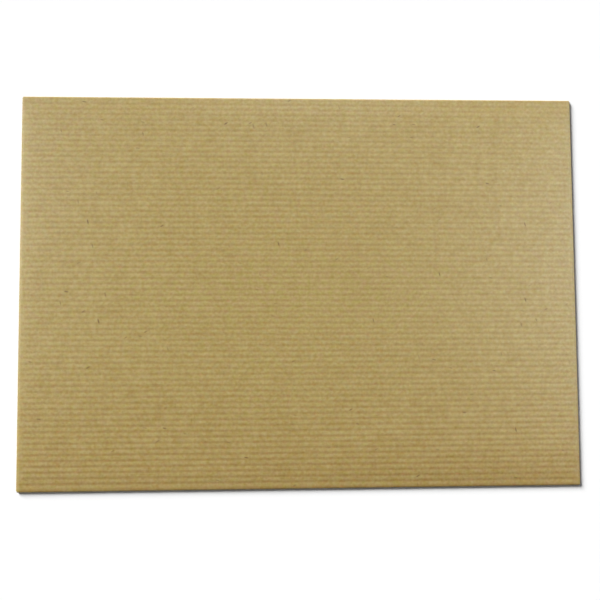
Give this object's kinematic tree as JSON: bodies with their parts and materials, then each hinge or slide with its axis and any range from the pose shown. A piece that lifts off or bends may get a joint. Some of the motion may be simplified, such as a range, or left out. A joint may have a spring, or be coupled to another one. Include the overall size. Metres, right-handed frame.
{
  "type": "kraft envelope",
  "caption": "Plain C6 envelope folded from one sheet of ribbed brown kraft paper, with a pointed seal flap folded down behind.",
  "frame": {"origin": "centre of the envelope's outline, on the surface that it lies on", "axes": "+X along the long edges, to the right as the front is read; +Y towards the seal flap's crease, the top edge; +Z out of the plain front face, upwards as it lies"},
  "size_m": [0.162, 0.114, 0.0016],
  "materials": {
    "ribbed_kraft": "matt ribbed kraft paper, light brown with fine darker lines across its width"
  },
  "bodies": {
    "root": {"envelope": "ribbed_kraft"}
  },
  "joints": []
}
